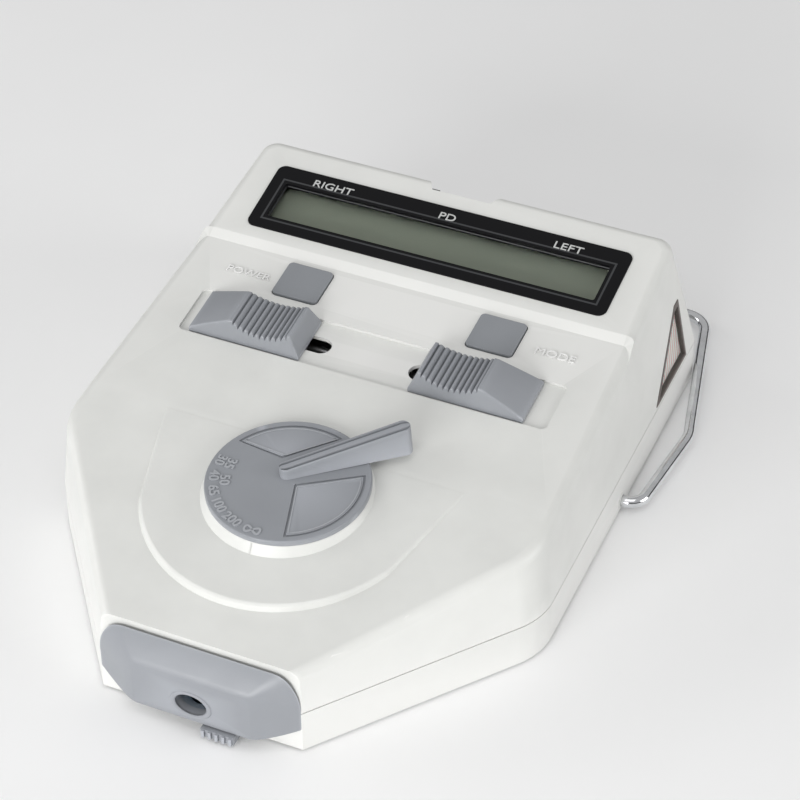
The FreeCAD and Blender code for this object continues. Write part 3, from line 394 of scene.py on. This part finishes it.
def skin(shape, rows, close_ends=True):
    """Quads between rows of points; each row is a closed ring."""
    made = [[shape.verts.new(point) for point in row] for row in rows]
    count = len(made[0])
    for first, second in zip(made, made[1:]):
        for index in range(count):
            following = (index + 1) % count
            shape.faces.new((first[index], first[following], second[following], second[index]))
    if close_ends:
        shape.faces.new(made[0])
        shape.faces.new(made[-1][::-1])


def lathe(profile, steps=96):
    """A closed ring of revolution from (radius, height) points."""
    shape = bmesh.new()
    columns = []
    for step in range(steps):
        angle = 2 * math.pi * step / steps
        across, along = math.cos(angle), math.sin(angle)
        columns.append([(radius * across, radius * along, height) for radius, height in profile])
    skin(shape, columns + columns[:1], close_ends=False)
    bmesh.ops.remove_doubles(shape, verts=shape.verts, dist=1e-5)
    return shape


def bar(path, width, height):
    """A flat raised ribbon along a path on the local plane."""
    shape = bmesh.new()
    rows = []
    for index, point in enumerate(path):
        before = path[max(index - 1, 0)]
        after = path[min(index + 1, len(path) - 1)]
        along = (Vector(after) - Vector(before)).normalized()
        side = Vector((-along.y, along.x)) * width / 2
        near = (point[0] + side.x, point[1] + side.y)
        far = (point[0] - side.x, point[1] - side.y)
        rows.append([(*near, 0), (*far, 0), (*far, height), (*near, height)])
    skin(shape, rows)
    return shape


def lettering(words, size, height, weight=0.0):
    """Raised characters centred on the local origin."""
    curve = bpy.data.curves.new("characters", "FONT")
    curve.body = words
    curve.size = size
    curve.align_x = "CENTER"
    curve.align_y = "CENTER"
    curve.extrude = height
    curve.offset = weight
    curve.resolution_u = 6
    holder = bpy.data.objects.new("characters", curve)
    bpy.context.scene.collection.objects.link(holder)
    mesh = holder.to_mesh()
    shape = bmesh.new()
    shape.from_mesh(mesh)
    holder.to_mesh_clear()
    bpy.data.objects.remove(holder)
    bpy.data.curves.remove(curve)
    bmesh.ops.remove_doubles(shape, verts=shape.verts, dist=1e-4)
    return shape


# ---------------------------------------------------------------- slider knobs
def knob_top(along):
    """Height of the knob along its length, from the outer to the inner end."""
    ramp_end, crest_end = KNOB_RAMP, KNOB_CREST_END
    if along < ramp_end:
        part = along / ramp_end
        return KNOB_FOOT + 0.7 + (KNOB_HEIGHT - KNOB_FOOT - 0.7) * part ** 0.92
    if along > crest_end:
        part = (KNOB_LENGTH - along) / (KNOB_LENGTH - crest_end)
        return KNOB_FOOT + 0.5 + (KNOB_HEIGHT - KNOB_FOOT - 0.5) * part
    start, end = ramp_end + 1.2, crest_end - 1.0
    if not start < along < end:
        return KNOB_HEIGHT
    part = (along - start) / (end - start)
    hollow = 2.5 * math.sin(math.pi * part) ** 0.8
    rib = abs(math.sin(math.pi * part * RIB_COUNT)) ** 0.7
    return KNOB_HEIGHT - 0.15 - hollow - 1.5 * (1 - rib)


def knob_row(along):
    """A section across the knob: foot, drafted sides, rounded shoulders and a flat top."""
    top = knob_top(along)
    half = KNOB_WIDTH / 2
    draft = 1.8 / (KNOB_HEIGHT - KNOB_FOOT)

    def side_at(height):
        return half - draft * max(height - KNOB_FOOT, 0)

    shoulder = min(0.8, (top - KNOB_FOOT) * 0.6)
    right = [(half, 0), (half, KNOB_FOOT), (side_at(top - shoulder), top - shoulder)]
    for step in (1, 2, 3):
        turn = math.radians(step * 30)
        reach = side_at(top - shoulder) - shoulder * (1 - math.cos(turn))
        right.append((reach, top - shoulder + shoulder * math.sin(turn)))
    left = [(-across, height) for across, height in reversed(right)]
    return [(along, across, height) for across, height in right + left]


def knob(node, body, centre, flip):
    """A slider knob and the neck that goes down through its slot."""
    shape = bmesh.new()
    ribs = [KNOB_RAMP + (KNOB_CREST_END - KNOB_RAMP) * step / 240 for step in range(241)]
    stations = [KNOB_RAMP * step / 12 for step in range(12)] + ribs
    stations += [KNOB_CREST_END + (KNOB_LENGTH - KNOB_CREST_END) * step / 5 for step in range(1, 6)]
    skin(shape, [knob_row(along) for along in stations])
    turned = on_plane(DECK, 0, RECESS_Y, GAP - RECESS_DEPTH) @ Matrix.Translation((centre, 0, 0))
    turned = turned @ Matrix.Rotation(math.pi if flip else 0.0, 4, "Z") \
        @ Matrix.Translation((-KNOB_LENGTH / 2, 0, 0))
    neck = bmesh.ops.create_cone(shape, cap_ends=True, segments=40, radius1=NECK_HALF, radius2=NECK_HALF,
                                 depth=NECK_DEPTH)
    bmesh.ops.scale(shape, vec=(NECK_STRETCH, 1.0, 1.0), verts=neck["verts"])
    bmesh.ops.translate(shape, vec=(KNOB_LENGTH / 2 + NECK_OFFSET, 0, NECK_MIDDLE), verts=neck["verts"])
    add_piece(f"{node}_grip", shape, turned, "grey", body, (node,))


knob("right_eye_knob", "right_eye_slider", RIGHT_EYE_X, False)
knob("left_eye_knob", "left_eye_slider", LEFT_EYE_X, True)


# ---------------------------------------------------------------- dial lever, numerals and mark
def lever_section(share, reach):
    """Half of a section: (across, height) from the foot up to the ridge between two grooves."""
    top = LEVER_LOW + (LEVER_HIGH - LEVER_LOW) * share
    crown = (2.35 + 0.35 * share) * reach
    foot = (2.7 + 2.2 * share) * (0.25 + 0.75 * reach)
    lanes = [(1.0, -0.5), (0.94, -0.12), (0.84, 0.0), (0.74, 0.0), (0.66, -0.8), (0.42, -0.8), (0.33, 0.0),
             (0.0, 0.05)]
    deep = min(1.0, reach * 1.4 - 0.4) if reach > 0.3 else 0.0
    points = [(foot, 0.5 * share), (crown + (foot - crown) * 0.3, top - 1.6)]
    return points + [(crown * lane, top + (drop if lane > 0.9 else drop * deep)) for lane, drop in lanes]


def lever_row(along):
    """A section across the lever; both of its ends are round."""
    share = min(max(along / LEVER_REACH, 0.0), 1.0)
    past = max(-along, along - LEVER_REACH, 0.0) / LEVER_END
    reach = math.sqrt(max(1 - past ** 2, 0.02))
    right = lever_section(share, reach)
    left = [(-across, height) for across, height in reversed(right[:-1])]
    return [(along, across, height) for across, height in right + left]


def lever():
    """The grooved lever that turns the dial."""
    shape = bmesh.new()
    ends = [LEVER_END * math.sin(math.radians(step * 15)) for step in range(1, 7)]
    stations = [-reach for reach in reversed(ends)] + [LEVER_REACH * step / 24 for step in range(25)]
    stations += [LEVER_REACH + reach for reach in ends]
    skin(shape, [lever_row(along) for along in stations])
    seat = on_dial(0.02) @ Matrix.Translation((*LEVER_HUB, 0))
    seat = seat @ Matrix.Rotation(math.radians(LEVER_TURN), 4, "Z")
    add_piece("lever_grip", shape, seat, "grey", "dial", ("dial_lever",))


def infinity(size):
    """The figure-eight that marks a distant target."""
    path = []
    for step in range(49):
        turn = 2 * math.pi * step / 48
        path.append((size * math.cos(turn), size * 0.9 * math.sin(turn) * math.cos(turn)))
    return path


def dial_marks():
    """The distances in centimetres around the dial's rim, and the mark for a distant target, in a lighter
    grey that paints their highlight.
    """
    for radius, marks in (OUTER_NUMERALS, INNER_NUMERALS):
        for digits, angle in marks.items():
            seat = on_dial(0.12) @ Matrix.Translation((*polar(radius, angle), 0))
            seat = seat @ Matrix.Rotation(math.radians(angle) + math.pi / 2, 4, "Z")
            raised = lettering(digits, NUMERAL_SIZE, 0.2, 0.09)
            add_piece(f"numeral_{digits}", raised, seat, "numeral", "dial")
    seat = on_dial() @ Matrix.Translation((*polar(OUTER_NUMERALS[0], FAR_MARK_ANGLE), 0))
    add_piece("numeral_far", bar(infinity(2.6), 0.7, 0.3), seat, "numeral", "dial")


def sector_rims():
    """A fine raised edge just inside the groove of each sector, in a lighter grey that paints the highlight
    along the groove.
    """
    for name, (apex, start, end) in SECTORS.items():
        rim = [polar(SECTOR_RADIUS, start + (end - start) * step / 24) for step in range(25)]
        edge = bar([apex] + rim + [apex], 0.4, 0.16)
        add_piece(f"sector_rim_{name}", edge, on_dial(), "numeral", "dial")


lever()
dial_marks()
sector_rims()


def index_mark():
    """A fine raised line down the boss, where the dial's scale is read, in a darker white that paints the
    shadow of the engraved line.
    """
    seat = on_dial(-2.2) @ Matrix.Translation((0, -BOSS_TOP_RADIUS, 0))
    seat = seat @ Matrix.Rotation(math.radians(90 - BOSS_DRAFT), 4, "X")
    line = bar([(0, -0.4), (0, -4.8)], 0.5, 0.16)
    add_piece("index_line", line, seat, "index", "housing")


index_mark()


# ---------------------------------------------------------------- words and the display frame
def word(name, words, size, seat, material):
    """A word in letters a little wider than the font's own."""
    wider = seat @ Matrix.Diagonal((1.2, 1, 1, 1))
    add_piece(name, lettering(words, size, 0.2), wider, material, "housing")


for words, x in (("RIGHT", -43.4), ("PD", -0.5), ("LEFT", 43.6)):
    word(f"word_{words.lower()}", words, 4.3, on_plane(PANEL, x, 86.2, 0.42), "print")
# the raised words carry a painted highlight in their whiter colour
word("word_power", "POWER", 3.9, on_plane(DECK, -54.6, 42.4, 0.26), "raised")
word("word_mode", "MODE", 4.2, on_plane(DECK, 56.4, 42.4, 0.26), "raised")


def display_frame():
    """The narrow grey bevel that steps down from the bezel to the window."""
    shape = bmesh.new()
    depth = (GLASS_BACK - GLASS_FRONT) / 2
    rows = []
    for reach, height in ((1.9, 0.38), (1.5, 0.46), (1.1, 0.4), (-0.2, -1.0), (1.9, -1.0)):
        half, deep = GLASS_HALF + reach, depth + reach
        corners = ((-half, -deep), (half, -deep), (half, deep), (-half, deep))
        rows.append([(*corner, height) for corner in corners])
    rows.append(rows[0])
    skin(shape, rows, close_ends=False)
    bmesh.ops.remove_doubles(shape, verts=shape.verts, dist=1e-5)
    middle = (GLASS_FRONT + GLASS_BACK) / 2
    add_piece("display_bevel", shape, on_plane(PANEL, 0, middle), "bevel", "housing")


display_frame()


# ---------------------------------------------------------------- eyepiece cap
def cap_ring(share, inset):
    """A section of the cap: share 0 at the housing, 1 at the front face; inset shrinks it."""
    sizes = [back + (face - back) * share for back, face in zip(CAP_AT_HOUSING, CAP_AT_FACE)]
    half, low, high, shoulder, soft = sizes
    half -= inset
    low += inset
    high -= inset
    slope = shoulder * 0.6
    corners = [(-half, low, CAP_LOWER_ROUND), (half, low, CAP_LOWER_ROUND), (half, high - shoulder, soft),
               (half - slope, high, soft), (-half + slope, high, soft), (-half, high - shoulder, soft)]
    ring = []
    for index, (x, z, radius) in enumerate(corners):
        here = Vector((x, z))
        before = Vector(corners[index - 1][:2]) - here
        after = Vector(corners[(index + 1) % len(corners)][:2]) - here
        reach = min(radius, before.length * 0.45, after.length * 0.45)
        start, end = here + before.normalized() * reach, here + after.normalized() * reach
        for step in range(7):
            part = step / 6
            ring.append(start * (1 - part) ** 2 + here * 2 * part * (1 - part) + end * part ** 2)
    return ring


def cutter(name, matrix, radius, length):
    shape = bmesh.new()
    bmesh.ops.create_cone(shape, cap_ends=True, segments=96, radius1=radius, radius2=radius, depth=length)
    shape.transform(matrix)
    return loose(name, shape)


def box_cutter(name, low, high):
    shape = bmesh.new()
    bmesh.ops.create_cube(shape, size=1.0)
    size = [top - bottom for bottom, top in zip(low, high)]
    middle = [(top + bottom) / 2 for bottom, top in zip(low, high)]
    bmesh.ops.scale(shape, vec=size, verts=shape.verts)
    bmesh.ops.translate(shape, vec=middle, verts=shape.verts)
    shape.transform(place(0, 0, 0))
    return loose(name, shape)


def loose(name, shape):
    """A plain object in the frame's own units, which rides on nothing."""
    mesh = bpy.data.meshes.new(name)
    shape.to_mesh(mesh)
    shape.free()
    made = bpy.data.objects.new(name, mesh)
    bpy.context.scene.collection.objects.link(made)
    return made


def carve(target, tool):
    """Cuts the tool from the target's mesh and removes the tool."""
    difference = target.modifiers.new("carve", "BOOLEAN")
    difference.operation = "DIFFERENCE"
    difference.solver = "EXACT"
    difference.object = tool
    depsgraph = bpy.context.evaluated_depsgraph_get()
    result = bpy.data.meshes.new_from_object(target.evaluated_get(depsgraph))
    target.modifiers.remove(difference)
    target.data = result
    bpy.data.objects.remove(tool)
    smooth(target.data)


def cap():
    """The eyepiece cap: slightly full flanks, a rounded front edge and a rim around the opening."""
    shape = bmesh.new()
    depth = NOSE_Y - CAP_FRONT
    sections = [(share, -0.3 * math.sin(math.pi * share)) for share in (0.0, 0.05, 0.2, 0.35, 0.5, 0.65, 0.8)]
    for step in range(1, 7):
        turn = math.radians(step * 15)
        sections.append((0.8 + 0.2 * math.sin(turn), -0.18 + 1.15 * (1 - math.cos(turn))))
    rows = []
    for share, inset in sections:
        rows.append([(point.x, NOSE_Y - depth * share, point.y) for point in cap_ring(share, inset)])
    skin(shape, rows)
    made = add_piece("cap_cover", shape, place(0, 0, 0), "grey", "housing", ("eyepiece_cap",))
    oval = Matrix.Diagonal((1, EYE_SQUASH, 1, 1))
    carve(made, cutter("bore_cutter", place(0, CAP_FRONT + 4, EYE_Z, 90) @ oval, EYE_RADIUS, 20))
    carve(made, box_cutter("run_cutter", (-16, CAP_FRONT + 2.2, 2.8), (16, NOSE_Y + 6, 5.6)))
    profile = [(EYE_RADIUS, -0.6), (EYE_RADIUS, 0.15), (EYE_RADIUS + 0.35, 0.5), (EYE_RADIUS + 0.9, 0.6),
               (EYE_RADIUS + 1.5, 0.45), (EYE_RADIUS + 1.9, 0.0), (EYE_RADIUS + 1.9, -0.6)]
    seat = place(0, CAP_FRONT + 0.1, EYE_Z, 90) @ oval
    add_piece("eyepiece_ring", lathe(profile), seat, "grey", "housing")


cap()


# ---------------------------------------------------------------- stage, light and camera
def softbox(name, stand, aim, width, height, power):
    data = bpy.data.lights.new(name, "AREA")
    data.shape = "RECTANGLE"
    data.size = width
    data.size_y = height
    data.energy = power
    made = bpy.data.objects.new(name, data)
    made.location = stand
    made.rotation_mode = "QUATERNION"
    made.rotation_quaternion = (Vector(aim) - Vector(stand)).to_track_quat("-Z", "Y")
    bpy.context.scene.collection.objects.link(made)


def studio_sky(tree):
    """Even light from above over a dark band near the horizon, which gives the polished wire its contrast."""
    sky = tree.nodes["Background"]
    sky.inputs["Strength"].default_value = 0.46
    coords = tree.nodes.new("ShaderNodeTexCoord")
    split = tree.nodes.new("ShaderNodeSeparateXYZ")
    ramp = tree.nodes.new("ShaderNodeValToRGB")
    ramp.color_ramp.elements[0].position = 0.22
    ramp.color_ramp.elements[0].color = (0.03, 0.03, 0.032, 1)
    ramp.color_ramp.elements[1].position = 0.36
    ramp.color_ramp.elements[1].color = (1.0, 1.0, 1.0, 1)
    tree.links.new(coords.outputs["Generated"], split.inputs["Vector"])
    tree.links.new(split.outputs["Z"], ramp.inputs["Fac"])
    tree.links.new(ramp.outputs["Color"], sky.inputs["Color"])


def stage():
    """A paper floor, an even sky and four softboxes."""
    shape = bmesh.new()
    bmesh.ops.create_grid(shape, x_segments=1, y_segments=1, size=6.0)
    floor = loose("floor", shape)
    paper = Finish("floor_paper")
    tone = paper.blend(paper.noise(90.0, 3.0), (0.94, 0.94, 0.94), (0.92, 0.92, 0.92))
    paper.link(tone, paper.shader.inputs["Base Color"])
    paper.link(paper.spread(paper.noise(30.0), 0.75, 0.9), paper.shader.inputs["Roughness"])
    floor.data.materials.append(paper.material)
    world = bpy.data.worlds.new("studio")
    world.use_nodes = True
    studio_sky(world.node_tree)
    bpy.context.scene.world = world
    softbox("overhead", (0.2, -0.5, 1.3), (0, 0, 0), 1.0, 1.0, 3.4)
    softbox("front", (-0.15, -1.6, 0.42), (0, -0.02, 0.03), 1.1, 0.7, 18.0)
    softbox("right_fill", (1.4, 0.1, 0.45), (0, 0, 0.03), 0.9, 0.7, 6.5)
    softbox("left_fill", (-1.4, -0.3, 0.6), (0, 0, 0.03), 0.9, 0.7, 5.5)


def camera():
    """The viewer stands to the right of the examiner's end and looks down at the deck."""
    data = bpy.data.cameras.new("camera")
    data.lens = CAMERA_LENS
    data.sensor_width = 36
    data.clip_start = 0.05
    data.clip_end = 20
    turn = Vector(CAMERA_TURN)
    seen = Quaternion(turn.normalized(), turn.length).to_matrix()
    right, down, ahead = seen.row
    basis = Matrix((right, -down, -ahead)).transposed()
    made = bpy.data.objects.new("camera", data)
    made.matrix_world = Matrix.Translation(CAMERA_PLACE) @ basis.to_4x4()
    bpy.context.scene.collection.objects.link(made)
    bpy.context.scene.camera = made


stage()
camera()
bpy.context.scene.view_settings.view_transform = "Standard"
